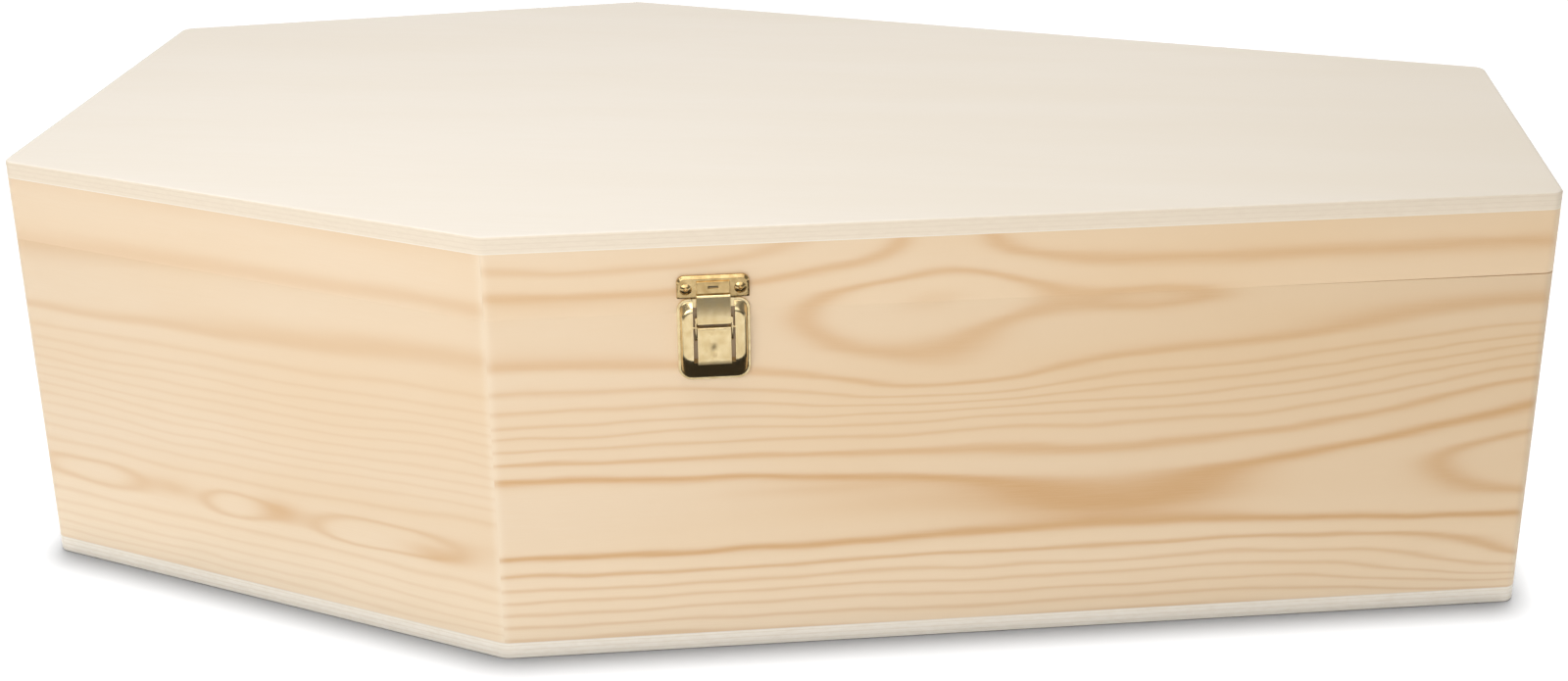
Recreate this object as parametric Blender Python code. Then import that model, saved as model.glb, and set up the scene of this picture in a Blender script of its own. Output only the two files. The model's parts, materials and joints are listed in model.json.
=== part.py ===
"""A small six-sided wooden coffin: plywood top and bottom, mitred pine walls, a lid sawn from the
same walls and a brass toggle latch on the front.

The origin is the middle of the underside. +X runs from the head end to the foot end, +Z is up and
-Y is the front, where the latch is. Lengths are in metres.
"""

import math

import bmesh
import bpy
from mathutils import Vector

MM = 0.001

# Driving dimensions of the box, outside
LENGTH = 700 * MM
HEIGHT = 203 * MM
HEAD_WIDTH = 225 * MM
SHOULDER_WIDTH = 377 * MM
FOOT_WIDTH = 188 * MM
SHOULDER_STATION = 243 * MM
LID_HEIGHT = 38 * MM
BOARD_THICKNESS = 15 * MM
PANEL_THICKNESS = 8 * MM
SHOULDER_ROUNDING = 10 * MM
END_ROUNDING = 6 * MM
PANEL_ARRIS = 1.2 * MM

# Driving dimensions of the latch. Heights are above the saw cut between box and lid, and stands are
# distances out from the wooden face.
LATCH_STATION = 97 * MM
LATCH_WIDTH = 31 * MM
LATCH_TOP = 17 * MM
LATCH_BOTTOM = 31 * MM
FRAME_TOP = 6.4 * MM
FRAME_CORNER = 7 * MM
FRAME_FOOT_CORNER = 5 * MM
FRAME_FLANGE = 1.3 * MM
FRAME_STAND = 4.7 * MM
FRAME_SIDE_SLOPE = 1.9 * MM
FRAME_TOP_SLOPE = 2.6 * MM
FRAME_FOOT_SLOPE = 8.6 * MM
CROWN_EASING = 0.6 * MM
WINDOW_WIDTH = 17.9 * MM
WINDOW_CLEARANCE = 0.9 * MM
SHEET = 0.8 * MM
LEVER_SHEET = 0.7 * MM
LEVER_WIDTH = 14.4 * MM
LEVER_TOP = 5.5 * MM
LEVER_BOTTOM = 23.1 * MM
LEVER_LIP = 2.3 * MM
LEVER_EDGE = 0.6 * MM
CHEEK_INSET = 0.1 * MM
LINK_TOP = 8.9 * MM
LINK_BOTTOM = 4.0 * MM
LINK_BEND = 0.8 * MM
WEB_DEPTH = 1.6 * MM
WEB_HEIGHT = 2.5 * MM
WEB_INSET = 0.1 * MM
PIVOT_BELOW_TOP = 1.2 * MM
PIVOT_STAND = 2.0 * MM
CRANK = 5.0 * MM
CRANK_INSET = 0.5 * MM
PIN_RADIUS = 0.5 * MM
EYE_RADIUS = 1.05 * MM
NOSE_STAND = 3.6 * MM
BOSS_WIDTH = 14.2 * MM
BOSS_STAND = 3.2 * MM
BOSS_MARGIN = 1.9 * MM
KEEPER_CORNER = 3 * MM
SCREW_SPACING = 23.2 * MM
SCREW_BELOW_TOP = 5.6 * MM
SCREW_HEAD_RADIUS = 2.9 * MM
SCREW_HEAD_HEIGHT = 1.5 * MM
SCREW_SHANK_RADIUS = 1.2 * MM
SCREW_LENGTH = 11 * MM
SCREW_SLOT = 0.7 * MM
SCREW_SLOT_DEPTH = 0.8 * MM

# Clearances
JOINT_GAP = 0.3 * MM
RUNNING_GAP = 0.2 * MM
HOOK_GAP = 0.35 * MM
SIDE_GAP = 0.25 * MM
PRESS_GAP = 0.1 * MM

# Sides of round things
ARC_STEPS = 6
PIN_SIDES = 16
HEAD_SIDES = 32

CUT_HEIGHT = HEIGHT - LID_HEIGHT
SIDE_NAMES = ("front_shoulder", "front_long", "foot", "back_long", "back_shoulder", "head")
LATCH_SIDE = SIDE_NAMES.index("front_long")


def clear_scene():
    for old in list(bpy.data.objects):
        bpy.data.objects.remove(old, do_unlink=True)


# Materials

def material(name, colour, roughness, metallic):
    made = bpy.data.materials.new(name)
    made.use_nodes = True
    shader = made.node_tree.nodes["Principled BSDF"]
    shader.inputs["Base Color"].default_value = (*colour, 1.0)
    shader.inputs["Roughness"].default_value = roughness
    shader.inputs["Metallic"].default_value = metallic
    return made


def pine():
    return material("pine", (0.86, 0.66, 0.43), 0.55, 0.0)


def plywood():
    return material("plywood", (0.90, 0.79, 0.64), 0.6, 0.0)


def brass():
    return material("brass", (0.80, 0.60, 0.28), 0.22, 1.0)


# Objects and meshes

def make_object(name, bm, finish, parent=None):
    bmesh.ops.recalc_face_normals(bm, faces=bm.faces)
    mesh = bpy.data.meshes.new(name)
    bm.to_mesh(mesh)
    bm.free()
    mesh.materials.append(finish)
    made = bpy.data.objects.new(name, mesh)
    made.parent = parent
    bpy.context.scene.collection.objects.link(made)
    return made


def make_cutter(name, bm, parent=None):
    """A guide shape: it cuts or joins another piece and isn't part of the coffin."""
    bmesh.ops.recalc_face_normals(bm, faces=bm.faces)
    mesh = bpy.data.meshes.new(name)
    bm.to_mesh(mesh)
    bm.free()
    made = bpy.data.objects.new(name, mesh)
    made.parent = parent
    made.hide_render = True
    made.display_type = "WIRE"
    bpy.context.scene.collection.objects.link(made)
    return made


def make_empty(name, place, parent=None):
    made = bpy.data.objects.new(name, None)
    made.location = place
    made.parent = parent
    made.empty_display_size = 0.01
    bpy.context.scene.collection.objects.link(made)
    return made


def combine(target, operand, operation):
    step = target.modifiers.new(operand.name, "BOOLEAN")
    step.object = operand
    step.operation = operation
    step.solver = "EXACT"


def smooth_rounds(target, angle=math.radians(35)):
    target.data.shade_smooth()
    target.data.set_sharp_from_angle(angle=angle)


def loft(rings):
    """A closed solid skinned over rings that have the same number of points."""
    bm = bmesh.new()
    levels = [[bm.verts.new(point) for point in points] for points in rings]
    bm.faces.new(levels[0])
    bm.faces.new(levels[-1])
    for near, far in zip(levels, levels[1:]):
        for i, vert in enumerate(near):
            bm.faces.new((near[i - 1], vert, far[i], far[i - 1]))
    return bm


def upright(outline, low, high):
    """A plan outline stood up between two heights."""
    return loft([[(x, y, z) for x, y in outline] for z in (low, high)])


def crosswise(profile, left, right):
    """A side profile of (stand, height) points drawn across the latch."""
    return loft([[(x, -stand, height) for stand, height in profile] for x in (left, right)])


def arc(centre, radius, start, end, steps=ARC_STEPS):
    """Points along an arc, in degrees, as (first, second) coordinates."""
    angles = [math.radians(start + (end - start) * i / steps) for i in range(steps + 1)]
    return [(centre[0] + radius * math.cos(a), centre[1] + radius * math.sin(a)) for a in angles]


def strip(path, thickness):
    """The outline of a bent strip of sheet whose middle line is path."""
    points = [Vector(point) for point in path]
    near, far = [], []
    for i, point in enumerate(points):
        before = points[max(i - 1, 0)]
        after = points[min(i + 1, len(points) - 1)]
        along = (after - before).normalized()
        across = Vector((-along.y, along.x)) * thickness / 2
        near.append(tuple(point + across))
        far.append(tuple(point - across))
    return near + far[::-1]


def cylinder(radius, length, sides, centre, axis):
    """A rod of the given length, its middle at centre, along the x or the y axis."""
    bm = bmesh.new()
    bmesh.ops.create_cone(bm, cap_ends=True, segments=sides, radius1=radius, radius2=radius, depth=length)
    turn = Vector((0, 0, 1)).rotation_difference(Vector(axis))
    bmesh.ops.rotate(bm, verts=bm.verts, cent=(0, 0, 0), matrix=turn.to_matrix())
    bmesh.ops.translate(bm, verts=bm.verts, vec=centre)
    return bm


# The plan of the box

def plan_corners():
    """The six outer corners before rounding, counterclockwise from the front of the head end."""
    head = -LENGTH / 2
    foot = LENGTH / 2
    shoulder = head + SHOULDER_STATION
    return [
        Vector((head, -HEAD_WIDTH / 2)),
        Vector((shoulder, -SHOULDER_WIDTH / 2)),
        Vector((foot, -FOOT_WIDTH / 2)),
        Vector((foot, FOOT_WIDTH / 2)),
        Vector((shoulder, SHOULDER_WIDTH / 2)),
        Vector((head, HEAD_WIDTH / 2)),
    ]


CORNERS = plan_corners()
ROUNDINGS = (END_ROUNDING, SHOULDER_ROUNDING, END_ROUNDING, END_ROUNDING, SHOULDER_ROUNDING, END_ROUNDING)


def side_direction(side):
    return (CORNERS[(side + 1) % 6] - CORNERS[side % 6]).normalized()


def side_normal(side):
    along = side_direction(side)
    return Vector((along.y, -along.x))


def mitre(corner):
    """The unit vector into the box along a corner's mitre, and the cosine of half the corner's turn."""
    outward = (side_normal(corner - 1) + side_normal(corner)).normalized()
    return -outward, outward.dot(side_normal(corner))


def inner_corner(corner):
    inward, cosine = mitre(corner)
    return CORNERS[corner] + inward * BOARD_THICKNESS / cosine


def rounded_corner(corner):
    """Points round a corner, from the side before it to the side after it."""
    inward, cosine = mitre(corner)
    radius = ROUNDINGS[corner]
    centre = CORNERS[corner] + inward * radius / cosine
    before = side_normal(corner - 1)
    after = side_normal(corner)
    start = math.degrees(math.atan2(before.y, before.x))
    turn = math.degrees(math.atan2(before.x * after.y - before.y * after.x, before.dot(after)))
    return [Vector(point) for point in arc(centre, radius, start, start + turn)]


def box_outline():
    return [point for corner in range(6) for point in rounded_corner(corner)]


def wall_outline(side):
    """The plan of one wall, with half of the rounding of each of its corners."""
    near = side
    far = (side + 1) % 6
    middle = ARC_STEPS // 2
    outside = rounded_corner(near)[middle:] + rounded_corner(far)[: middle + 1]
    return outside + [inner_corner(far), inner_corner(near)]


def trim_mitre(bm, corner, keep_towards):
    """Saws a wall's end back by half a joint gap from the mitre at a corner."""
    inward, _ = mitre(corner)
    across = Vector((-inward.y, inward.x))
    if across.dot(keep_towards) < 0:
        across = -across
    place = CORNERS[corner] + across * JOINT_GAP / 2
    geometry = bm.verts[:] + bm.edges[:] + bm.faces[:]
    bmesh.ops.bisect_plane(bm, geom=geometry, plane_co=(*place, 0), plane_no=(*across, 0), clear_inner=True)
    bmesh.ops.holes_fill(bm, edges=[edge for edge in bm.edges if edge.is_boundary])


def wall(name, side, low, high, finish):
    bm = upright(wall_outline(side), low, high)
    trim_mitre(bm, side, side_direction(side))
    trim_mitre(bm, (side + 1) % 6, -side_direction(side))
    made = make_object(name, bm, finish)
    smooth_rounds(made)
    return made


def panel(name, low, high, eased_level, finish):
    """A plywood panel whose outer arris, at eased_level, is rounded over."""
    bm = upright(box_outline(), low, high)
    rim = [edge for edge in bm.edges if all(abs(vert.co.z - eased_level) < JOINT_GAP for vert in edge.verts)]
    bmesh.ops.bevel(bm, geom=rim, offset=PANEL_ARRIS, segments=3, profile=0.5, affect="EDGES", material=-1)
    made = make_object(name, bm, finish)
    smooth_rounds(made)
    return made


def box(wood, ply):
    panel("bottom_panel", 0.0, PANEL_THICKNESS, 0.0, ply)
    for side, name in enumerate(SIDE_NAMES):
        wall(f"{name}_board", side, PANEL_THICKNESS + JOINT_GAP, CUT_HEIGHT, wood)


def lid(wood, ply):
    top = HEIGHT - PANEL_THICKNESS
    panel("lid_panel", top, HEIGHT, HEIGHT, ply)
    rails = []
    for side, name in enumerate(SIDE_NAMES):
        rails.append(wall(f"{name}_rail", side, CUT_HEIGHT + JOINT_GAP, top - JOINT_GAP, wood))
    return rails


# The latch. Its pieces are drawn round the point of the front face where its centre line meets the
# saw cut: x across the latch, -y out from the face, z up.

def latch_seat():
    """The empty that carries the latch, flat on the long front wall."""
    along = side_direction(LATCH_SIDE)
    place = CORNERS[LATCH_SIDE] + along * LATCH_STATION
    seat = make_empty("latch_seat", (*place, CUT_HEIGHT))
    seat.rotation_euler = (0, 0, math.atan2(along.y, along.x))
    return seat


def plate_outline(inset, bottom, top, low_radius, high_radius):
    """A rounded rectangle of (x, height) points across the latch, with its side edges drawn in."""
    half = LATCH_WIDTH / 2 - inset
    low = max(low_radius, SHEET / 2)
    high = max(high_radius, SHEET / 2)
    return (
        arc((half - low, bottom + low), low, -90, 0)
        + arc((half - high, top - high), high, 0, 90)
        + arc((-half + high, top - high), high, 90, 180)
        + arc((-half + low, bottom + low), low, 180, 270)
    )


def stood_out(outline, stand):
    return [(x, -stand, height) for x, height in outline]


def pressed_frame(thinner):
    """The pressed dome of the frame, or, thinner by a sheet's thickness, the hollow behind it."""
    foot = -LATCH_BOTTOM
    rim = plate_outline(0, foot, FRAME_TOP, FRAME_FOOT_CORNER, FRAME_CORNER)
    inset = FRAME_FLANGE + thinner
    inner = plate_outline(inset, foot + inset, FRAME_TOP - inset, FRAME_FOOT_CORNER - inset, FRAME_CORNER - inset)
    crown = []
    for easing in (0, CROWN_EASING):
        extra = inset + easing
        crown.append(plate_outline(
            extra + FRAME_SIDE_SLOPE,
            foot + extra + FRAME_FOOT_SLOPE,
            FRAME_TOP - extra - FRAME_TOP_SLOPE,
            FRAME_FOOT_CORNER - extra - CROWN_EASING,
            FRAME_CORNER - extra - FRAME_SIDE_SLOPE,
        ))
    face = JOINT_GAP + SHEET
    top = FRAME_STAND - thinner
    dome = [stood_out(crown[0], top - CROWN_EASING), stood_out(crown[1], top)]
    if thinner:
        return loft([stood_out(inner, -SHEET), stood_out(inner, JOINT_GAP + SHEET / 2)] + dome)
    return loft([stood_out(rim, JOINT_GAP), stood_out(rim, face), stood_out(inner, face)] + dome)


def window_foot():
    """The window ends a little below the place where the lever's lip starts to bend outwards."""
    return -LEVER_BOTTOM + LEVER_LIP - WINDOW_CLEARANCE


def frame_window_profile():
    """The window for the lever and the link. Above the crown only its floor is left."""
    foot = window_foot()
    beyond = 2 * FRAME_STAND
    floor_start = FRAME_TOP - FRAME_FLANGE - FRAME_TOP_SLOPE
    floor = JOINT_GAP + SHEET
    return [
        (-beyond, foot), (beyond, foot), (beyond, LATCH_TOP), (floor, LATCH_TOP), (floor, floor_start),
        (-beyond, floor_start),
    ]


def latch_frame(seat, finish):
    frame = make_object("latch_frame", pressed_frame(0), finish, seat)
    hollow = make_cutter("frame_hollow", pressed_frame(SHEET), seat)
    half = WINDOW_WIDTH / 2
    walls = half + SHEET
    wall_foot = window_foot() - SHEET
    beyond = 2 * FRAME_STAND
    block = [(-beyond, wall_foot), (beyond, wall_foot), (beyond, LATCH_TOP), (-beyond, LATCH_TOP)]
    keep = make_cutter("frame_window_walls", crosswise(block, -walls, walls), seat)
    combine(hollow, keep, "DIFFERENCE")
    window = make_cutter("frame_window", crosswise(frame_window_profile(), -half, half), seat)
    stand, height = pivot_place()
    bore = cylinder(PIN_RADIUS + RUNNING_GAP / 2, LATCH_WIDTH / 2 + WINDOW_WIDTH / 2, PIN_SIDES,
                    (0, -stand, height), (1, 0, 0))
    pin_bore = make_cutter("frame_pin_bore", bore, seat)
    combine(frame, hollow, "DIFFERENCE")
    combine(frame, window, "DIFFERENCE")
    combine(frame, pin_bore, "DIFFERENCE")
    smooth_rounds(frame)
    return frame


def pivot_place():
    """Where the lever's pivot is, as stand and height."""
    return PIVOT_STAND, -LEVER_TOP - PIVOT_BELOW_TOP


def crank_place():
    """Where the link's pivot is on the closed lever, past the line of pull, as stand and height."""
    stand, height = pivot_place()
    return stand - CRANK_INSET, height - CRANK


def crosswise_at(profile, left, right, axis):
    """A side profile drawn across the latch round the (stand, height) of a joint's axis."""
    stand, height = axis
    return crosswise([(point[0] - stand, point[1] - height) for point in profile], left, right)


def pin(name, place, length, finish, axis):
    """A pin along a joint's axis; place is the pin's stand and height from that axis."""
    stand, height = place
    bm = cylinder(PIN_RADIUS, length, PIN_SIDES, (0, -stand, height), (1, 0, 0))
    made = make_object(name, bm, finish, axis)
    smooth_rounds(made)
    return made


def from_pivot(place):
    """A (stand, height) of the latch, seen from the lever's pivot."""
    stand, height = pivot_place()
    return place[0] - stand, place[1] - height


def plate_stand():
    """The middle of the sheet of the lever's and the link's front plates."""
    return FRAME_STAND + RUNNING_GAP - LEVER_SHEET / 2


def lever_plate():
    """The lever's plate from its rolled top edge down to the lip that a finger pulls."""
    middle = plate_stand()
    top = -LEVER_TOP - LEVER_SHEET / 2
    lip_radius = 2 * LEVER_LIP
    lip_start = -LEVER_BOTTOM + LEVER_LIP
    roll = arc((middle - LEVER_EDGE, top - LEVER_EDGE), LEVER_EDGE, 90, 0)
    lip = arc((middle + lip_radius, lip_start), lip_radius, 180, 210)
    return strip(roll + lip, LEVER_SHEET)


def lever_ear():
    """A cheek of the lever: both pins pass through it, and it joins the back of the plate."""
    pivot = pivot_place()
    crank = crank_place()
    middle = plate_stand()
    front = [(middle, crank[1] - 3 * EYE_RADIUS), (middle, pivot[1] - EYE_RADIUS / 2)]
    return arc(pivot, EYE_RADIUS, 0, 180) + arc(crank, EYE_RADIUS, 180, 270) + front


def latch_lever(axis, finish):
    pivot = pivot_place()
    half = LEVER_WIDTH / 2
    lever = make_object("latch_lever", crosswise_at(lever_plate(), -half, half, pivot), finish, axis)
    for side, name in ((-1, "left"), (1, "right")):
        inner, outer = sorted((side * (half - LEVER_SHEET), side * (half - CHEEK_INSET)))
        ear = make_cutter(f"lever_ear_{name}", crosswise_at(lever_ear(), inner, outer, pivot), axis)
        combine(lever, ear, "UNION")
    pivot_bore = cylinder(PIN_RADIUS + RUNNING_GAP, WINDOW_WIDTH, PIN_SIDES, (0, 0, 0), (1, 0, 0))
    combine(lever, make_cutter("lever_pivot_bore", pivot_bore, axis), "DIFFERENCE")
    stand, height = from_pivot(crank_place())
    link_bore = cylinder(PIN_RADIUS + PRESS_GAP, WINDOW_WIDTH, PIN_SIDES, (0, -stand, height), (1, 0, 0))
    combine(lever, make_cutter("lever_link_bore", link_bore, axis), "DIFFERENCE")
    smooth_rounds(lever)
    return lever


def link_plate():
    """The link's front plate, whose top is bent in over the keeper's nose."""
    middle = plate_stand()
    top = LINK_TOP - LEVER_SHEET / 2
    lip_end = groove_stand() + HOOK_GAP
    bend = arc((middle - LINK_BEND, top - LINK_BEND), LINK_BEND, 90, 0)
    return strip([(lip_end, top)] + bend + [(middle, -LINK_BOTTOM)], LEVER_SHEET)


def link_web():
    """The step behind the link's plate that carries its two arms."""
    middle = plate_stand()
    low = -LINK_BOTTOM + LEVER_SHEET / 2
    back = middle - WEB_DEPTH
    return [(back, low), (middle, low), (middle, low + WEB_HEIGHT), (back, low + WEB_HEIGHT)]


def link_arm():
    """An arm of the link, which passes in front of the pivot pin and ends in an eye."""
    pivot = pivot_place()
    crank = crank_place()
    middle = plate_stand()
    top = -LINK_BOTTOM + LEVER_SHEET / 2 + WEB_HEIGHT
    front = middle - LEVER_SHEET
    back = pivot[0] + PIN_RADIUS + SIDE_GAP
    knee = pivot[1] - 2 * EYE_RADIUS
    eye = arc(crank, EYE_RADIUS, 10, -190, 2 * ARC_STEPS)
    return [(back, top), (front, top), (front, knee)] + eye + [(back, knee)]


def latch_link(axis, finish):
    crank = crank_place()
    half = LEVER_WIDTH / 2
    near = half + SIDE_GAP
    far = near + LEVER_SHEET
    link = make_object("latch_link", crosswise_at(link_plate(), -half, half, crank), finish, axis)
    web = make_cutter("link_web", crosswise_at(link_web(), -far + WEB_INSET, far - WEB_INSET, crank), axis)
    combine(link, web, "UNION")
    for side, name in ((-1, "left"), (1, "right")):
        low, high = sorted((side * near, side * far))
        arm = make_cutter(f"link_arm_{name}", crosswise_at(link_arm(), low, high, crank), axis)
        combine(link, arm, "UNION")
    bore = cylinder(PIN_RADIUS + RUNNING_GAP, 2 * WINDOW_WIDTH, PIN_SIDES, (0, 0, 0), (1, 0, 0))
    combine(link, make_cutter("link_bore", bore, axis), "DIFFERENCE")
    smooth_rounds(link)
    return link


# The keeper on the lid and its two screws

def keeper_bottom():
    return FRAME_TOP + HOOK_GAP


def groove_stand():
    """How far the floor of the groove between the keeper's nose and its boss stands out."""
    return JOINT_GAP + SHEET + JOINT_GAP


def keeper_relief():
    """The nose that the link hooks over, the groove for the link's lip, and the boss above it."""
    root = JOINT_GAP + SHEET / 2
    floor = groove_stand()
    bottom = keeper_bottom() + PRESS_GAP
    nose_top = LINK_TOP - LEVER_SHEET - HOOK_GAP
    boss_bottom = LINK_TOP + HOOK_GAP
    boss_top = LATCH_TOP - BOSS_MARGIN
    slope = BOSS_STAND - root
    return [
        (root, bottom), (NOSE_STAND, bottom), (NOSE_STAND, nose_top), (floor, nose_top),
        (floor, boss_bottom), (BOSS_STAND - PRESS_GAP, boss_bottom), (BOSS_STAND, boss_bottom + SHEET),
        (BOSS_STAND, boss_top - slope), (root, boss_top),
    ]


def circle(radius, stand, centre, sides):
    """A circle on a plane parallel to the face."""
    x, height = centre
    return [(x + a, -stand, height + b) for a, b in arc((0, 0), radius, 0, 360, sides)[:-1]]


def screw_places():
    height = LATCH_TOP - SCREW_BELOW_TOP
    return {"left": (-SCREW_SPACING / 2, height), "right": (SCREW_SPACING / 2, height)}


def screw_hole(name, centre, seat):
    radius = SCREW_SHANK_RADIUS + JOINT_GAP
    depth = SCREW_LENGTH + JOINT_GAP
    rings = [circle(radius, stand, centre, PIN_SIDES) for stand in (-depth, SCREW_HEAD_RADIUS)]
    return make_cutter(name, loft(rings), seat)


def latch_keeper(seat, finish, holes):
    outline = plate_outline(0, keeper_bottom(), LATCH_TOP, 0, KEEPER_CORNER)
    plate = loft([stood_out(outline, JOINT_GAP), stood_out(outline, JOINT_GAP + SHEET)])
    keeper = make_object("latch_keeper", plate, finish, seat)
    half = BOSS_WIDTH / 2
    relief = make_cutter("keeper_relief", crosswise(keeper_relief(), -half, half), seat)
    combine(keeper, relief, "UNION")
    for hole in holes:
        combine(keeper, hole, "DIFFERENCE")
    smooth_rounds(keeper)
    return keeper


def keeper_screw(side, centre, seat, finish):
    """A round-headed screw with a cross recess; its shank goes through the keeper into the lid."""
    bearing = JOINT_GAP + SHEET + JOINT_GAP
    rings = [
        circle(SCREW_SHANK_RADIUS / 2, bearing - SCREW_LENGTH, centre, HEAD_SIDES),
        circle(SCREW_SHANK_RADIUS, bearing - SCREW_LENGTH + SCREW_HEAD_HEIGHT, centre, HEAD_SIDES),
        circle(SCREW_SHANK_RADIUS, bearing, centre, HEAD_SIDES),
    ]
    for along, up in arc((0, 0), 1, 0, 75, ARC_STEPS):
        rings.append(circle(SCREW_HEAD_RADIUS * along, bearing + SCREW_HEAD_HEIGHT * up, centre, HEAD_SIDES))
    screw = make_object(f"keeper_screw_{side}", loft(rings), finish, seat)
    top = bearing + SCREW_HEAD_HEIGHT
    x, height = centre
    for bar, (wide, high) in (("flat", (3, 1)), ("upright", (1, 3))):
        half_wide = wide * SCREW_SLOT / 2
        half_high = high * SCREW_SLOT / 2
        profile = [
            (top - SCREW_SLOT_DEPTH, height - half_high), (top + SCREW_SLOT, height - half_high),
            (top + SCREW_SLOT, height + half_high), (top - SCREW_SLOT_DEPTH, height + half_high),
        ]
        cross = make_cutter(f"screw_{side}_{bar}_slot", crosswise(profile, x - half_wide, x + half_wide), seat)
        combine(screw, cross, "DIFFERENCE")
    smooth_rounds(screw)
    return screw


def latch(finish, front_rail):
    seat = latch_seat()
    pivot = pivot_place()
    lever_axis = make_empty("lever_axis", (0, -pivot[0], pivot[1]), seat)
    stand, height = from_pivot(crank_place())
    link_axis = make_empty("link_axis", (0, -stand, height), lever_axis)
    latch_frame(seat, finish)
    pin("latch_pivot_pin", pivot, WINDOW_WIDTH + 2 * SHEET + 2 * SIDE_GAP, finish, seat)
    latch_lever(lever_axis, finish)
    pin("latch_link_pin", (stand, height), LEVER_WIDTH + 2 * LEVER_SHEET + 3 * SIDE_GAP, finish, lever_axis)
    latch_link(link_axis, finish)
    holes = []
    for side, centre in screw_places().items():
        hole = screw_hole(f"keeper_hole_{side}", centre, seat)
        combine(front_rail, hole, "DIFFERENCE")
        holes.append(hole)
        keeper_screw(side, centre, seat, finish)
    latch_keeper(seat, finish, holes)


def main():
    clear_scene()
    wood = pine()
    ply = plywood()
    box(wood, ply)
    rails = lid(wood, ply)
    latch(brass(), rails[LATCH_SIDE])


main()
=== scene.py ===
# %% [markdown]
# # A small wooden coffin
#
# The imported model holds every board, panel and latch part at its real size and place. This lesson
# dresses it. The wooden pieces are modelled again with finer arrises and closed joints, the
# latch is modelled in sheet brass, and every surface gets a material made from nodes.
#
# The model comes in as a fixed frame. Nothing in it is moved: a new piece is made where the
# frame says, and stands for the node it replaces.

# %% Load the frame
import json
import math

import bmesh
import bpy
from mathutils import Matrix, Vector


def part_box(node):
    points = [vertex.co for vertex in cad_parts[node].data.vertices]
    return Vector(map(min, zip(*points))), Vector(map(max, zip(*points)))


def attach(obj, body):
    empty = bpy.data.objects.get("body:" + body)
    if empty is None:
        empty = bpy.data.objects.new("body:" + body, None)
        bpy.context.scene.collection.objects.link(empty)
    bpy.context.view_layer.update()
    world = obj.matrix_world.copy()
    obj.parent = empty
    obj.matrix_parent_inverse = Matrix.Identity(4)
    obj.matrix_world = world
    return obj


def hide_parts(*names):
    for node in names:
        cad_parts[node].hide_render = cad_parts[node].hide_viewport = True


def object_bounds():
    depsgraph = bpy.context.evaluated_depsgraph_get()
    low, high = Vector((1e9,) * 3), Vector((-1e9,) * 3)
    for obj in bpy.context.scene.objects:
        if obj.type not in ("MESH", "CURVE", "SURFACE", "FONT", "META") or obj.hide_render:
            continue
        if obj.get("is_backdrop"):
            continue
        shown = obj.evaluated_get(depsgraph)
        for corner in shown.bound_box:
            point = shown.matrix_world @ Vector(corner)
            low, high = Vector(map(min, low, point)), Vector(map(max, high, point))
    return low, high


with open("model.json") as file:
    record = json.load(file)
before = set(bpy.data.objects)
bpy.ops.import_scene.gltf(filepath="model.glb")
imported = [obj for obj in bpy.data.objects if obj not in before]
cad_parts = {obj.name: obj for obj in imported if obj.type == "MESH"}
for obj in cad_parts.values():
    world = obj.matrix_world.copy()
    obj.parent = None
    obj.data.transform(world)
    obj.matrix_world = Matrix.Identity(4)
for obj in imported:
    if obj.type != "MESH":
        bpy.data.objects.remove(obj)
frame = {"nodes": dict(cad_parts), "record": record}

cad_low, cad_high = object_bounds()
print("box of the frame in mm:", [round(side * 1000, 1) for side in cad_high - cad_low])

# %% [markdown]
# ## The plan of the box
#
# The box is a stretched hexagon: narrow at the head, widest at the shoulders, and tapering to the
# foot. Its six walls are solid pine with mitred ends, and the top and bottom are plywood. The
# plan is drawn once, as six corners, and each wall knows its own direction, so all the other
# cells can speak of "along the wall" and "out from the wall".

# %% Corners and walls of the plan
MM = 0.001
HEAD_WIDTH = 225 * MM
SHOULDER_WIDTH = 377 * MM
FOOT_WIDTH = 188 * MM
SHOULDER_STATION = 243 * MM
WALL_THICKNESS = 15 * MM
SHOULDER_ROUNDING = 10 * MM
END_ROUNDING = 6 * MM

head_x = cad_low.x
foot_x = cad_high.x
shoulder_x = head_x + SHOULDER_STATION
half_plan = [(head_x, HEAD_WIDTH / 2), (shoulder_x, SHOULDER_WIDTH / 2), (foot_x, FOOT_WIDTH / 2)]
CORNERS = [Vector((x, -y)) for x, y in half_plan] + [Vector((x, y)) for x, y in reversed(half_plan)]
ROUNDINGS = [
    SHOULDER_ROUNDING if abs(corner.x - shoulder_x) < MM else END_ROUNDING for corner in CORNERS
]
WALLS = ("front_shoulder", "front_long", "foot", "back_long", "back_shoulder", "head")


def along(wall):
    """The direction in which a wall runs, counterclockwise seen from above."""
    return (CORNERS[(wall + 1) % 6] - CORNERS[wall % 6]).normalized()


def outward(wall):
    direction = along(wall)
    return Vector((direction.y, -direction.x))


def wall_length(wall):
    return (CORNERS[(wall + 1) % 6] - CORNERS[wall]).length


for number, name in enumerate(WALLS):
    print(f"{name}: {wall_length(number) / MM:.1f} mm long")

# %% Heights, read from the frame
bottom_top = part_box("bottom_panel")[1].z
lid_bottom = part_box("lid_panel")[0].z
saw_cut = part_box("foot_board")[1].z
print("saw cut between box and lid at", round(saw_cut / MM, 1), "mm")

# %% [markdown]
# ## Writing shader maths
#
# Grain is arithmetic: distances, waves and masks added up. Node by node that is hard to read, so
# a small class wraps a socket and lets Python's own operators add the nodes. `1 - mask` then
# makes a Subtract node, and `mask * 3` a Multiply node.

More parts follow.
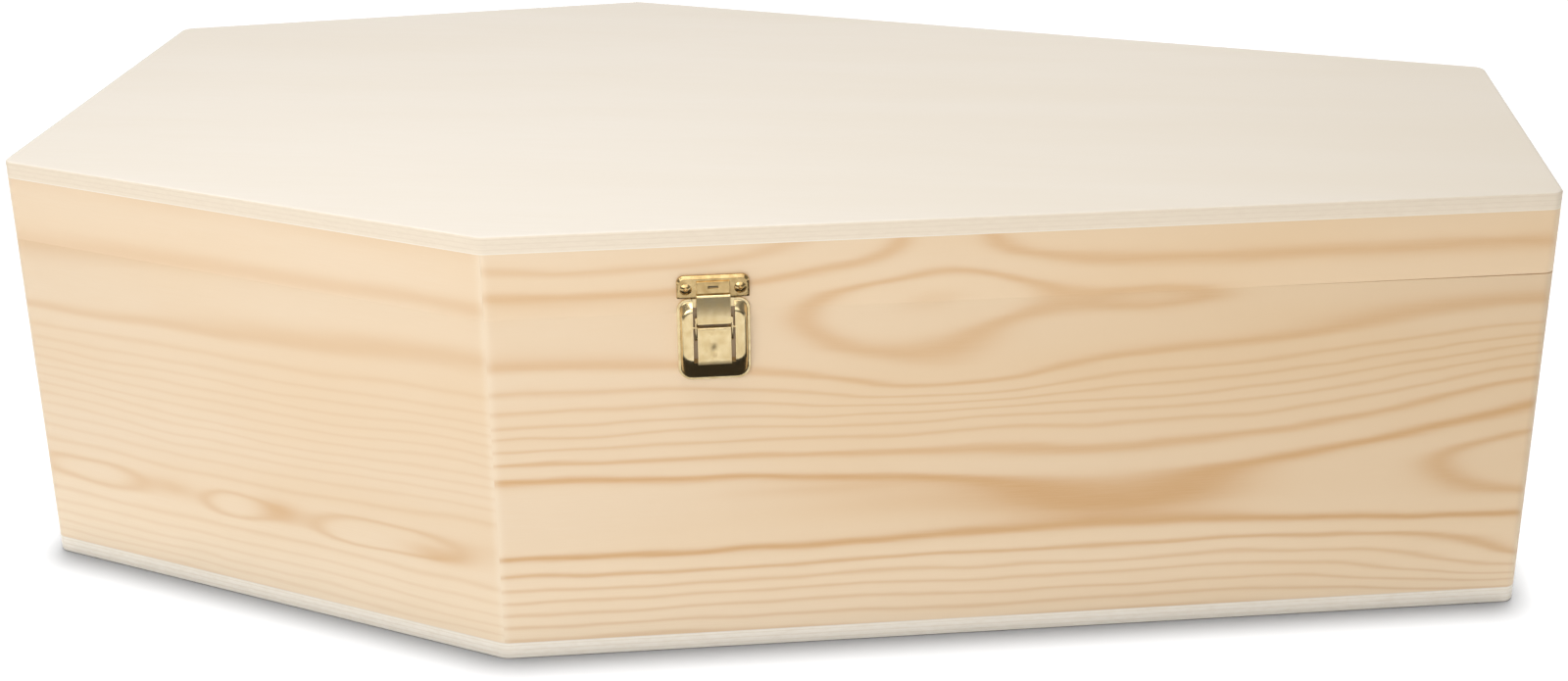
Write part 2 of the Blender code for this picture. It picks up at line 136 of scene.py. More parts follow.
# %% A value on its way through the nodes
class Value:
    """A socket's output, with operators that add Math nodes."""

    def __init__(self, graph, socket):
        self.graph = graph
        self.socket = socket

    def math(self, operation, *values):
        return self.graph.node("ShaderNodeMath", {"operation": operation}, values)

    def __add__(self, other):
        return self.math("ADD", self, other)

    def __sub__(self, other):
        return self.math("SUBTRACT", self, other)

    def __rsub__(self, other):
        return self.math("SUBTRACT", other, self)

    def __mul__(self, other):
        return self.math("MULTIPLY", self, other)

    def __truediv__(self, other):
        return self.math("DIVIDE", self, other)

    __radd__ = __add__
    __rmul__ = __mul__

    def bell(self, width):
        """1 where the value is 0, falling off to both sides as a bell."""
        scaled = self / width
        return self.math("POWER", 1 / math.e, scaled * scaled)

    def step(self, start, end):
        """0 at start, 1 at end, with a smooth rise between."""
        settings = {"interpolation_type": "SMOOTHSTEP"}
        values = {"Value": self, "From Min": start, "From Max": end}
        return self.graph.node("ShaderNodeMapRange", settings, values)


# %% A material's graph
class Graph:
    """One material, its nodes added by a single method."""

    def __init__(self, name):
        self.material = bpy.data.materials.new(name)
        self.material.use_nodes = True
        self.tree = self.material.node_tree
        self.shader = self.tree.nodes["Principled BSDF"]

    def node(self, kind, settings, values, output=0):
        """Adds a node: its settings first, then the values or links of its sockets."""
        made = self.tree.nodes.new(kind)
        for name, value in settings.items():
            setattr(made, name, value)
        pairs = values.items() if isinstance(values, dict) else enumerate(values)
        for key, value in pairs:
            self.connect(value, made.inputs[key])
        return Value(self, made.outputs[output])

    def connect(self, value, socket):
        if isinstance(value, Value):
            self.tree.links.new(value.socket, socket)
        elif isinstance(value, tuple) and len(value) == 3 and socket.type == "RGBA":
            socket.default_value = (*value, 1.0)
        else:
            socket.default_value = value

    def vector(self, operation, *values, output=0):
        return self.node("ShaderNodeVectorMath", {"operation": operation}, values, output)

    def mix(self, share, first, second):
        """A colour between two, by a share from 0 to 1."""
        settings = {"data_type": "RGBA", "clamp_factor": True}
        return self.node("ShaderNodeMix", settings, {0: share, 6: first, 7: second}, output=2)

    def noise(self, place, scale, detail=2.0, roughness=0.5):
        values = {"Vector": place, "Scale": scale, "Detail": detail, "Roughness": roughness}
        return self.node("ShaderNodeTexNoise", {"noise_dimensions": "3D"}, values)

    def streaks(self, place, scale, detail=2.0, roughness=0.5):
        """Noise drawn out along the axes whose scale is small."""
        return self.noise(self.vector("MULTIPLY", place, scale), 1.0, detail, roughness)

    def object_place(self):
        return self.node("ShaderNodeTexCoord", {}, {}, output=3)

    def millimetres(self):
        """Object coordinates in millimetres."""
        return self.vector("MULTIPLY", self.object_place(), (1 / MM,) * 3)

    def axis(self, vector, number):
        return self.node("ShaderNodeSeparateXYZ", {}, [vector], output=number)

    def finish(self, colour, roughness, height=None, strength=0.1, distance=MM):
        """Feeds the shader, and a Bump node where the surface has relief."""
        self.connect(colour, self.shader.inputs["Base Color"])
        self.connect(roughness, self.shader.inputs["Roughness"])
        if height is not None:
            values = {"Strength": strength, "Distance": distance, "Height": height}
            self.connect(self.node("ShaderNodeBump", {}, values), self.shader.inputs["Normal"])
        return self.material


# %% [markdown]
# ## Pine
#
# A pine board sawn from the side of a log cuts through its growth rings at a shallow angle. Each
# ring shows as a line, and where the saw grazes a swelling in the rings the lines close into
# eyes and tongues. That is just what the contour lines of a hilly map do, so the grain is drawn
# as a map: a height that falls in bands over the board's face, with a few long low hills and
# hollows. Wherever that height is a whole number there is a dark line of latewood. Where the
# map is nearly flat the line spreads into a broad tongue by itself.
#
# Places on the map are in millimetres, along the wall from its first corner and up from the
# underside. A board and the rail above it share one material, so the grain runs across the saw
# cut, as it does on a box that was glued up whole and then sawn open.

# %% Grain of each wall
# A band changes the map from one height up the wall to another. A hill changes it round a point:
# along, up, reach along, reach up, change. A stain is a place where resin has made the wood redder.
GRAIN = {
    "front_long": {
        "base": -7.4,
        "bands": [(147, 76, 8.0), (61, -7.5, -7.6), (168, 203, 1.3)],
        "hills": [
            (176, 160, 52, 19, -1.1),
            (205, 169, 40, 12, -0.6),
            (290, 162.5, 48, 9, -0.72),
            (197, 205, 26, 22, -0.9),
            (185, 203, 60, 20, -0.5),
            (50, 195, 90, 20, 1.0),
            (15, 138, 70, 13, 0.4),
            (200, 126, 58, 13, -1.4),
            (430, 148, 100, 12, 0.12),
            (490, 119, 105, 22, 3.4),
            (262, 86, 125, 11, -0.65),
            (276, 67, 90, 17, -0.62),
            (490, 76, 62, 17, 1.4),
            (490, 22, 75, 15, 2.8),
        ],
        "bold": [(0, 1.2, 0.55), (-7.5, 0.9, 0.3)],
        "stains": [
            (150, 78, 45, 3.5, 0.35),
            (200, 70, 60, 7, 0.3),
            (262, 65, 60, 9, 0.3),
            (230, 18, 260, 16, 0.12),
        ],
        "contrast": 0.9,
    },
    "front_shoulder": {
        "base": -15.2,
        "bands": [(215, 125, 2.4), (140, 52, 12.3), (46, -25, -10)],
        "hills": [
            (28, 49, 42, 9, 0.95),
            (110, 48, 20, 8, 0.9),
            (133, 50, 17, 7, 0.35),
            (180, 47, 28, 9, 0.95),
            (214, 48, 24, 6, 0.55),
            (100, 90, 120, 30, -0.5),
            (250, 90, 60, 40, 0.8),
            (0, 140, 110, 30, -0.4),
        ],
        "bold": [(0, 0.8, 0.55), (-13.5, 1.0, 0.55)],
        "stains": [(76, 50, 14, 4, 0.4), (138, 50, 12, 5, 0.5), (222, 45.5, 15, 4, 0.5)],
        "contrast": 0.43,
    },
    "foot": {
        "base": -5.2,
        "bands": [(190, 95, 6.0), (80, 0, -6.4)],
        "hills": [(60, 150, 60, 22, -1.3), (120, 88, 50, 14, 0.8)],
        "bold": [(0, 1.2, 0.55), (-4, 0.8, 0.55)],
        "stains": [(110, 88, 40, 8, 0.2)],
        "contrast": 0.75,
    },
    "back_long": {
        "base": -7.0,
        "bands": [(150, 88, 7.2), (70, 0, -7.0), (170, 203, 1.6)],
        "hills": [
            (120, 96, 90, 16, 0.9),
            (330, 150, 110, 20, -1.6),
            (390, 60, 70, 14, -0.8),
            (30, 160, 60, 20, 0.9),
        ],
        "bold": [(0, 1.2, 0.55), (-7, 1.2, 0.55)],
        "stains": [(120, 96, 70, 10, 0.25)],
        "contrast": 0.75,
    },
    "back_shoulder": {
        "base": -6.6,
        "bands": [(180, 100, 6.4), (76, -6, -7.2)],
        "hills": [(150, 92, 70, 13, 0.9), (60, 150, 70, 20, -1.2)],
        "bold": [(0, 1.2, 0.55), (-5, 1.0, 0.55)],
        "stains": [(150, 92, 50, 8, 0.2)],
        "contrast": 0.7,
    },
    "head": {
        "base": -6.0,
        "bands": [(170, 100, 6.2), (86, 4, -6.6)],
        "hills": [(110, 94, 70, 12, 0.7), (180, 150, 60, 22, -1.0)],
        "bold": [(0, 1.2, 0.55), (-4, 1.0, 0.55)],
        "stains": [(110, 94, 50, 8, 0.2)],
        "contrast": 0.7,
    },
}

# %% The pine material
PINE_PALE = (0.82, 0.66, 0.48)
# PINE_WARM is the wood's warmer tone, and also the painted shade towards the foot.
PINE_WARM = (0.78, 0.57, 0.35)
PINE_LINE = (0.645, 0.37, 0.155)
# Painted highlight: the pale colour at both ends of each wall, where its rounded corner catches the
# light.
PINE_CORNER_HIGHLIGHT = (0.91, 0.79, 0.62)
# Painted light: the lower part of each wall is mixed towards this paler colour, where the shadowed
# floor throws little light up at it.
PINE_LOWER_LIGHT = (0.97, 0.82, 0.62)
LOWER_LIGHT_TOP = 75
LOWER_LIGHT_SHARE = 0.5
LINE_WIDTH = 0.17
LINE_STRENGTH = 0.45
RING_SLANT = 0.6
DRIFT = 7
DRIFT_SCALE = (0.008, 0.03, 0.03)
RIPPLE = 3
RIPPLE_SCALE = (0.02, 0.1, 0.16)
FIBRE_SCALE = (0.05, 2.2, 2.2)
FIBRE_SHARE = 0.2
CLOUD_SCALE = (0.004, 0.02, 0.02)
CLOUD_WARMTH = 0.4
# Painted shade: along the box the pine is mixed towards PINE_WARM, most at the foot, where the
# light falls off.
FOOT_SHADE = 0.75
CORNER_HIGHLIGHT_REACH = 2.4
CORNER_HIGHLIGHT_SHARE = 0.3
PINE_ROUGHNESS = 0.55
PINE_RELIEF = 0.2 * MM


def wall_place(graph, wall):
    """Object coordinates turned to lie along, into and up a wall, in millimetres."""
    direction = along(wall)
    angle = -math.atan2(direction.y, direction.x)
    turn = Matrix.Rotation(angle, 3, "Z")
    start = turn @ Vector((*CORNERS[wall], 0))
    values = {
        "Vector": graph.object_place(),
        "Location": tuple(-start / MM),
        "Rotation": (0.0, 0.0, angle),
        "Scale": (1 / MM, 1 / MM, 1 / MM),
    }
    return graph.node("ShaderNodeMapping", {"vector_type": "POINT"}, values)


def spot(graph, place, centre, up, reach_along, reach_up):
    """1 at a place on the wall, falling off to nothing over its two reaches."""
    scale = (1 / reach_along, 0.0, 1 / reach_up)
    shift = (-centre / reach_along, 0.0, -up / reach_up)
    offset = graph.vector("MULTIPLY_ADD", place, scale, shift)
    squared = graph.vector("DOT_PRODUCT", offset, offset, output=1)
    return squared.math("POWER", 1 / math.e, squared)


def settled_place(graph, place):
    """The place on the wall, shifted up and down a little, as no ring is perfectly even."""
    drift = graph.streaks(place, DRIFT_SCALE)
    ripple = graph.streaks(place, RIPPLE_SCALE, 3.0)
    height = graph.axis(place, 2) + (drift - 0.5) * DRIFT + (ripple - 0.5) * RIPPLE
    height = height + graph.axis(place, 1) * RING_SLANT
    return graph.node("ShaderNodeCombineXYZ", {}, [graph.axis(place, 0), 0.0, height])


def grain_map(graph, place, grain):
    """The map whose whole-number contours are the lines of latewood."""
    height = graph.axis(place, 2)
    total = grain["base"]
    for start, end, change in grain["bands"]:
        total = height.step(start, end) * change + total
    for *where, change in grain["hills"]:
        total = spot(graph, place, *where) * change + total
    return total


def latewood(graph, place, grain):
    """How dark a line of latewood is at a place; the rings named as bold are darker."""
    rings = grain_map(graph, place, grain)
    strength = LINE_STRENGTH
    for ring, spread, extra in grain["bold"]:
        strength = (rings - ring).bell(spread) * extra + strength
    return rings.math("PINGPONG", rings, 0.5).bell(LINE_WIDTH) * strength


def pine(wall):
    graph = Graph(f"pine_{WALLS[wall]}")
    grain = GRAIN[WALLS[wall]]
    place = wall_place(graph, wall)
    settled = settled_place(graph, place)
    line = latewood(graph, settled, grain)
    fibre = graph.streaks(place, FIBRE_SCALE, 3.0, 0.6)
    cloud = graph.streaks(place, CLOUD_SCALE)
    # Clouds in the wood give a random warmer tone; towards the foot the warmer colour is painted
    # shade, where the light falls off.
    to_foot = graph.axis(graph.object_place(), 0).step(head_x, foot_x)
    tone_and_shade = cloud.step(0.3, 0.75) * CLOUD_WARMTH + to_foot * FOOT_SHADE
    colour = graph.mix(tone_and_shade, PINE_PALE, PINE_WARM)
    # Painted light: paler over the lower part of the wall, where the shadowed floor throws little
    # light up.
    lower_light = 1 - graph.axis(place, 2).step(0.0, LOWER_LIGHT_TOP)
    colour = graph.mix(lower_light * LOWER_LIGHT_SHARE, colour, PINE_LOWER_LIGHT)
    for *where, strength in grain["stains"]:
        colour = graph.mix(spot(graph, settled, *where) * strength, colour, PINE_LINE)
    colour = graph.mix(line * grain["contrast"], colour, PINE_LINE)
    colour = graph.mix(fibre.step(0.3, 0.75) * FIBRE_SHARE, colour, PINE_WARM)
    # Painted highlight at both ends of the wall, where the rounded corners catch the light.
    station = graph.axis(place, 0)
    to_end = station - wall_length(wall) / MM
    corner_highlight = station.bell(CORNER_HIGHLIGHT_REACH) + to_end.bell(CORNER_HIGHLIGHT_REACH)
    colour = graph.mix(corner_highlight * CORNER_HIGHLIGHT_SHARE, colour, PINE_CORNER_HIGHLIGHT)
    roughness = PINE_ROUGHNESS - line * 0.1 + (fibre - 0.5) * 0.1
    relief = fibre * 0.6 + line * 0.4
    return graph.finish(colour, roughness, relief, strength=0.12, distance=PINE_RELIEF)


PINES = [pine(wall) for wall in range(6)]
print("pine materials:", [made.name for made in PINES])

# %% [markdown]
# ## Plywood
#
# The lid's top and the bottom are poplar plywood: a nearly white face veneer over crossed inner
# layers, whose edges show as thin stripes between two lines of glue. The stripes depend only on
# the height within the panel, so one material draws both the faces and the edges.

# %% The plywood material
FACE_PALE = (0.865, 0.795, 0.70)
# FACE_WARM is the veneer's warmer tone, and also the painted shade towards the foot.
FACE_WARM = (0.83, 0.745, 0.625)
# The two panels are the same plywood; the bottom panel's edge colours are painted paler than the
# lid's, as painted light at the base of the box, where the floor's shadow darkens it.
EDGE_PALE = {"lid_panel": (0.81, 0.70, 0.555), "bottom_panel": (0.97, 0.90, 0.79)}
EDGE_DARK = {"lid_panel": (0.70, 0.58, 0.44), "bottom_panel": (0.76, 0.64, 0.48)}
PANEL_THICKNESS = cad_high.z - lid_bottom
GLUE_LINES = (2.1, 4.4, 6.6)
GLUE_WIDTH = 0.3
GLUE_STRENGTH = 0.35
VENEER_FADE = (0.2, 0.6)
FLOW_SCALE = (0.004, 0.03, 0.03)
FLOW_WARMTH = 0.4
# Painted shade: each panel's face grows warmer and darker towards the foot, where the light falls
# off.
PANEL_FOOT_SHADE = 0.6
PLY_FIBRE_SCALE = (0.03, 0.9, 0.9)
PLY_FIBRE_SHARE = 0.25
PLY_ROUGHNESS = 0.6
PLY_RELIEF = 0.15 * MM


def plywood(panel, underside):
    graph = Graph(f"plywood_{panel}")
    shift = (0, 0, -underside / MM)
    local = graph.vector("MULTIPLY_ADD", graph.object_place(), (1 / MM,) * 3, shift)
    height = graph.axis(local, 2)
    flow = graph.streaks(local, FLOW_SCALE, 3.0)
    fibre = graph.streaks(local, PLY_FIBRE_SCALE, 3.0, 0.6)
    # Flow in the veneer gives a random warmer tone; towards the foot the warmer colour is painted
    # shade, where the light falls off.
    to_foot = graph.axis(graph.object_place(), 0).step(shoulder_x, foot_x)
    tone_and_shade = flow.step(0.3, 0.75) * FLOW_WARMTH + to_foot * PANEL_FOOT_SHADE
    face = graph.mix(tone_and_shade, FACE_PALE, FACE_WARM)
    face = graph.mix(fibre.step(0.3, 0.8) * PLY_FIBRE_SHARE, face, FACE_WARM)
    pale, dark = EDGE_PALE[panel], EDGE_DARK[panel]
    edge = graph.mix(fibre.step(0.35, 0.75) * PLY_FIBRE_SHARE, pale, dark)
    for level in GLUE_LINES:
        edge = graph.mix((height - level).bell(GLUE_WIDTH) * GLUE_STRENGTH, edge, dark)
    near, far = VENEER_FADE
    thickness = PANEL_THICKNESS / MM
    between = height.step(near, far) * (1 - height.step(thickness - far, thickness - near))
    colour = graph.mix(between, face, edge)
    roughness = PLY_ROUGHNESS + (fibre - 0.5) * 0.1
    return graph.finish(colour, roughness, fibre, strength=0.08, distance=PLY_RELIEF)


PLYWOODS = {
    "lid_panel": plywood("lid_panel", lid_bottom),
    "bottom_panel": plywood("bottom_panel", 0.0),
}
print("panels are", round(PANEL_THICKNESS / MM, 1), "mm thick")

# %% [markdown]
# ## Brass
#
# The latch is pressed from sheet brass and plated bright. Its surface is nearly a mirror, with
# faint brushing and small clouds where fingers have been. The keeper and its screws get a darker
# copy of the same material, made from a second pair of colours: painted shade, standing in for the
# dark things they mirror.

# %% The brass material
BRASS_BRIGHT = (0.78, 0.63, 0.365)
BRASS_DEEP = (0.68, 0.52, 0.27)
# Painted shade: the darker brass of the keeper and its screws, standing in for the dark things they
# mirror.
SHADED_BRIGHT = (0.74, 0.54, 0.26)
SHADED_DEEP = (0.55, 0.375, 0.16)
BRASS_ROUGHNESS = 0.18
BRASS_RELIEF = 0.3 * MM
BRUSH_SCALE = (1.0, 1.0, 9.0)
DENT_SQUEEZE = Vector((0.7, 0.7, 0.35))
# Painted shade: the near-black browns laid on the floor of the keeper's slot.
SLOT_SHADE_DARK = (0.05, 0.032, 0.012)
SLOT_SHADE_PALE = (0.16, 0.11, 0.045)


def brass(name, bright=BRASS_BRIGHT, deep=BRASS_DEEP, dent=None):
    """Brass; a dent is a place in metres where a tool has left a shallow mark."""
    graph = Graph(name)
    place = graph.millimetres()
    cloud = graph.noise(place, 0.3, 3.0)
    brushing = graph.streaks(place, BRUSH_SCALE)
    colour = graph.mix(cloud.step(0.3, 0.7), bright, deep)
    relief = brushing * 0.008 + cloud * 0.03
    if dent is not None:
        shift = tuple(-dent * DENT_SQUEEZE / MM)
        away = graph.vector("MULTIPLY_ADD", place, tuple(DENT_SQUEEZE), shift)
        relief = relief - graph.vector("LENGTH", away, output=1).bell(1.0)
    graph.shader.inputs["Metallic"].default_value = 1.0
    roughness = BRASS_ROUGHNESS + cloud * 0.1 + (brushing - 0.5) * 0.06
    return graph.finish(colour, roughness, relief, strength=1.0, distance=BRASS_RELIEF)


def slot_shade():
    """Painted shade: the near-black brown laid on the floor of a stamped slot."""
    graph = Graph("slot_shade")
    cloud = graph.noise(graph.millimetres(), 1.5, 3.0)
    return graph.finish(graph.mix(cloud, SLOT_SHADE_DARK, SLOT_SHADE_PALE), 0.5 + cloud * 0.2)


BRASS = brass("brass")
SHADED_BRASS = brass("brass_shaded", SHADED_BRIGHT, SHADED_DEEP)
SLOT_SHADE = slot_shade()
print("brass, seen straight on, throws back", round(sum(BRASS_BRIGHT) / 3, 2), "of the light")

# %% [markdown]
# ## Finishing a piece
#
# Every new piece goes through the same last steps: its normals are made to point outwards, its
# gentle edges are shaded smooth and its arrises stay crisp, it is hung on the body it rides on, and
# the node of the frame that it stands for is hidden and lends the piece its name.

# %% From a bmesh to a finished piece
BODIES = frame["record"]["behaviour"]["bodies"]
BODY_OF = {node: body for body, nodes in BODIES.items() for node in nodes}
CRISP_ANGLE = math.radians(32)


def finished(name, bm, material):
    bmesh.ops.recalc_face_normals(bm, faces=bm.faces)
    for face in bm.faces:
        face.smooth = True
    for edge in bm.edges:
        edge.smooth = edge.calc_face_angle(0.0) < CRISP_ANGLE
    mesh = bpy.data.meshes.new(name)
    bm.to_mesh(mesh)
    bm.free()
    mesh.materials.append(material)
    piece = bpy.data.objects.new(name, mesh)
    bpy.context.scene.collection.objects.link(piece)
    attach(piece, BODY_OF[name])
    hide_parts(name)
    piece.name = f"{name}_finish"
    return piece


# %% [markdown]
# ## Walls
#
# On the bench each wall is a board with a mitre at both ends. Here the six walls are all sawn out
# of one solid block in the plan of the box: two cuts along the mitres and one along the inside
# face leave a wall whose rounded corners match its neighbours' exactly. The arrises along the
# saw cut are then eased, as a sheet of abrasive paper would.

# %% Operators that many pieces use
def round_over(bm, parts, width, segments, affect="EDGES"):
    """Rounds edges, or the corners of a flat face when affect says vertices."""
    bmesh.ops.bevel(bm, geom=parts, offset=width, offset_type="OFFSET", segments=segments,
                    profile=0.5, affect=affect, material=-1)


def slice_at(bm, place, normal, clear=False):
    """Cuts the whole mesh along a plane; clear takes away what lies beyond it."""
    whole = bm.verts[:] + bm.edges[:] + bm.faces[:]
    bmesh.ops.bisect_plane(bm, geom=whole, plane_co=place, plane_no=normal, clear_outer=clear)


def close_holes(bm):
    bmesh.ops.holes_fill(bm, edges=[edge for edge in bm.edges if edge.is_boundary])


def verts_of(made):
    """The vertices among the parts that an operator has made."""
    return [part for part in made["geom"] if isinstance(part, bmesh.types.BMVert)]


# %% A block in the plan of the box
CORNER_STEPS = 8


def plan_block(low, high):
    """The whole plan as a solid block with rounded corners."""
    bm = bmesh.new()
    verts = [bm.verts.new((*corner, low)) for corner in CORNERS]
    bm.faces.new(verts)
    for number, vert in enumerate(verts):
        turn = outward(number - 1).angle(outward(number))
        reach = ROUNDINGS[number] * math.tan(turn / 2)
        round_over(bm, [vert], reach, CORNER_STEPS, "VERTICES")
    grown = bmesh.ops.extrude_face_region(bm, geom=bm.faces[:])
    bmesh.ops.translate(bm, verts=verts_of(grown), vec=(0, 0, high - low))
    return bm


def saw(bm, place, normal):
    """Cuts off what lies beyond a plane and closes the cut."""
    slice_at(bm, place, normal, clear=True)
    close_holes(bm)


# %% A wall sawn from the block
def mitre_cut(bm, corner, wall):
    """Saws a wall off along the mitre at one of its corners."""
    inward = -(outward(corner - 1) + outward(corner)).normalized()
    beyond = Vector((inward.y, -inward.x))
    if beyond.dot(along(wall)) * (1 if corner % 6 == (wall + 1) % 6 else -1) < 0:
        beyond = -beyond
    saw(bm, (*CORNERS[corner % 6], 0), (*beyond, 0))


def wall_block(wall, low, high):
    """One wall between two heights, cut out of the block."""
    bm = plan_block(low, high)
    mitre_cut(bm, wall, wall)
    mitre_cut(bm, wall + 1, wall)
    inside = CORNERS[wall] - outward(wall) * WALL_THICKNESS
    saw(bm, (*inside, 0), (*-outward(wall), 0))
    return bm


# %% Eased arrises along the saw cut
ARRIS = 0.045 * MM
TOUCHING = 0.01 * MM
MITRE_REACH = 0.05 * MM


def is_mitre(face):
    """A mitre runs through a corner of the plan, in the direction of that corner's mitre."""
    middle = face.calc_center_median().to_2d()
    for number, corner in enumerate(CORNERS):
        across = (outward(number - 1) - outward(number)).normalized()
        off_line = abs((middle - corner).dot(across))
        if off_line < MITRE_REACH and abs(face.normal.to_2d().dot(across)) > 0.9:
            return True
    return False


def ease(bm, level):
    """Rounds over the long edges at one height; the mitres stay sharp and meet their neighbours."""
    bm.normal_update()
    long_edges = []
    for edge in bm.edges:
        if any(abs(vert.co.z - level) > TOUCHING for vert in edge.verts):
            continue
        upright = [face for face in edge.link_faces if abs(face.normal.z) < 0.5]
        if upright and not is_mitre(upright[0]):
            long_edges.append(edge)
    round_over(bm, long_edges, ARRIS, 2)


# %% The boards of the box
WOODEN = []

for wall, name in enumerate(WALLS):
    bm = wall_block(wall, bottom_top, saw_cut)
    ease(bm, saw_cut)
    WOODEN.append(finished(f"{name}_board", bm, PINES[wall]))
print("boards:", [piece.name for piece in WOODEN])

# %% [markdown]
# ## The lid's rails
#
# The saw cut closes so tightly along most of the box that it can't be seen, and stands a hair open
# at the foot, where it shows as a fine dark line. So the rails sit down over the boards' eased
# arrises. A plane cuts each long rail where the line starts, which gives it corners there, and
# from these on its lower edge rises a little towards the foot.

# %% The rails of the lid
SEAM_REST = -2 * ARRIS
SEAM_AT_FOOT = 0.58 * MM
SEAM_START = 0.2

for wall, name in enumerate(WALLS):
    rail_bottom = saw_cut + SEAM_REST
    bm = wall_block(wall, rail_bottom, lid_bottom)
    ease(bm, rail_bottom)
    slice_at(bm, (SEAM_START, 0, 0), (1, 0, 0))
    for vert in bm.verts:
        if vert.co.z < rail_bottom + 2 * ARRIS:
            share = max(0.0, (vert.co.x - SEAM_START) / (foot_x - SEAM_START))
            vert.co.z += SEAM_AT_FOOT * share
    WOODEN.append(finished(f"{name}_rail", bm, PINES[wall]))
print("the saw cut opens to", round((SEAM_REST + SEAM_AT_FOOT) / MM, 2), "mm at the foot")

# %% [markdown]
# ## Panels
#
# The two plywood panels are the same block in the plan of the box, with the outer arris rounded
# over more than the sawn edges are.

# %% The plywood panels
# For each panel: its two heights, the height of the arris to round, and the width of that round.
PANELS = {
    "bottom_panel": (0.0, bottom_top, 0.0, 0.5 * MM),
    "lid_panel": (lid_bottom, cad_high.z, cad_high.z, 1.2 * MM),
}

for name, (low, high, eased, arris) in PANELS.items():
    bm = plan_block(low, high)
    rim = []
    for edge in bm.edges:
        if all(abs(vert.co.z - eased) < TOUCHING for vert in edge.verts):
            rim.append(edge)
    round_over(bm, rim, arris, 4)
    WOODEN.append(finished(name, bm, PLYWOODS[name]))
    print(f"{name}: {(high - low) / MM:.1f} mm of plywood")

# %% [markdown]
# ## The latch on its wall
#
# The latch is drawn flat, as on a sheet of paper: x runs across it, z up from the saw cut, and -y
# out from the wood. One matrix then carries each finished piece onto the long front wall. A
# distance out from the wood is called its stand.

# %% From the drawing to the wall
LATCH_STATION = 97 * MM
LATCH_WALL = WALLS.index("front_long")

latch_foot = CORNERS[LATCH_WALL] + along(LATCH_WALL) * LATCH_STATION
latch_turn = math.atan2(along(LATCH_WALL).y, along(LATCH_WALL).x)
ONTO_WALL = Matrix.Translation((*latch_foot, saw_cut)) @ Matrix.Rotation(latch_turn, 4, "Z")
print(f"the latch is turned {math.degrees(latch_turn):.2f} degrees")

# %% Pieces of sheet brass
LATCH_WIDTH = 31 * MM
SHEET_FACE = 1.1 * MM
WOOD_GAP = 0.02 * MM
CORNER_SEGMENTS = 8


def rounded_plate(bm, half, low, high, low_radius, high_radius, stand):
    """Adds an upright face with rounded corners, facing out from the wall, and returns it."""
    before = set(bm.faces)
    corners = bmesh.ops.create_grid(bm, x_segments=1, y_segments=1, size=1)["verts"]
    upright = Matrix.Rotation(math.radians(90), 3, "X")
    bmesh.ops.scale(bm, verts=corners, vec=(half, (high - low) / 2, 1))
    bmesh.ops.translate(bm, verts=corners, vec=(0, (high + low) / 2, stand))
    bmesh.ops.rotate(bm, verts=corners, cent=(0, 0, 0), matrix=upright)
    for vert in corners:
        radius = high_radius if vert.co.z > (high + low) / 2 else low_radius
        round_over(bm, [vert], radius, CORNER_SEGMENTS, "VERTICES")
    return next(face for face in bm.faces if face not in before)


def close_back(bm):
    """Turns every open edge back to the wood and closes the piece there."""
    open_edges = [edge for edge in bm.edges if edge.is_boundary]
    for vert in verts_of(bmesh.ops.extrude_edge_only(bm, edges=open_edges)):
        vert.co.y = -WOOD_GAP
    close_holes(bm)


def block(bm, low, high):
    """A block between two corners, given as (x, stand, height); returns its vertices."""
    made = bmesh.ops.create_cube(bm, size=1)["verts"]
    middle = [(a + b) / 2 for a, b in zip(low, high)]
    bmesh.ops.scale(bm, verts=made, vec=[b - a for a, b in zip(low, high)])
    bmesh.ops.translate(bm, verts=made, vec=(middle[0], -middle[1], middle[2]))
    return made


def add_easing(piece, width):
    """Rounds every arris a little, and keeps flat faces evenly shaded beside it."""
    rounding = piece.modifiers.new("easing", "BEVEL")
    rounding.width = width
    rounding.segments = 3
    rounding.limit_method = "ANGLE"
    rounding.angle_limit = math.radians(38)
    weighting = piece.modifiers.new("even_shading", "WEIGHTED_NORMAL")
    weighting.keep_sharp = True


def on_latch(name, bm, easing, material=BRASS):
    """Carries a piece of the latch to its wall and finishes it."""
    bmesh.ops.recalc_face_normals(bm, faces=bm.faces)
    bm.transform(ONTO_WALL)
    piece = finished(name, bm, material)
    add_easing(piece, easing)
    print(f"{name}: {len(piece.data.polygons)} faces before easing")
    return piece


# %% [markdown]
# ## The latch's frame
#
# The frame is a dome pressed from one sheet: a narrow flange on the wood, steep sides, a long
# slope at the foot, and a flat crown with a window for the moving parts. The flange and the crown
# are two rounded plates, bridged by the sloping sides. Pressed bends are never sharp, so both
# bends are bevelled round. The window is then cut by three planes, and its walls are turned back
# to the wood.

# %% The frame's dome
FRAME_TOP = 6.4 * MM
FRAME_FOOT = -31 * MM
TOP_CORNER = 5 * MM
FOOT_CORNER = 6 * MM
FLANGE = 1.2 * MM
CROWN_HALF = 13.9 * MM
CROWN_TOP = 2.6 * MM
CROWN_FOOT = -21.5 * MM
CROWN_STAND = 4.7 * MM
CROWN_TOP_CORNER = 5.6 * MM
CROWN_FOOT_CORNER = 4.6 * MM
CROWN_BEND = 1.2 * MM
FLANGE_BEND = 0.35 * MM

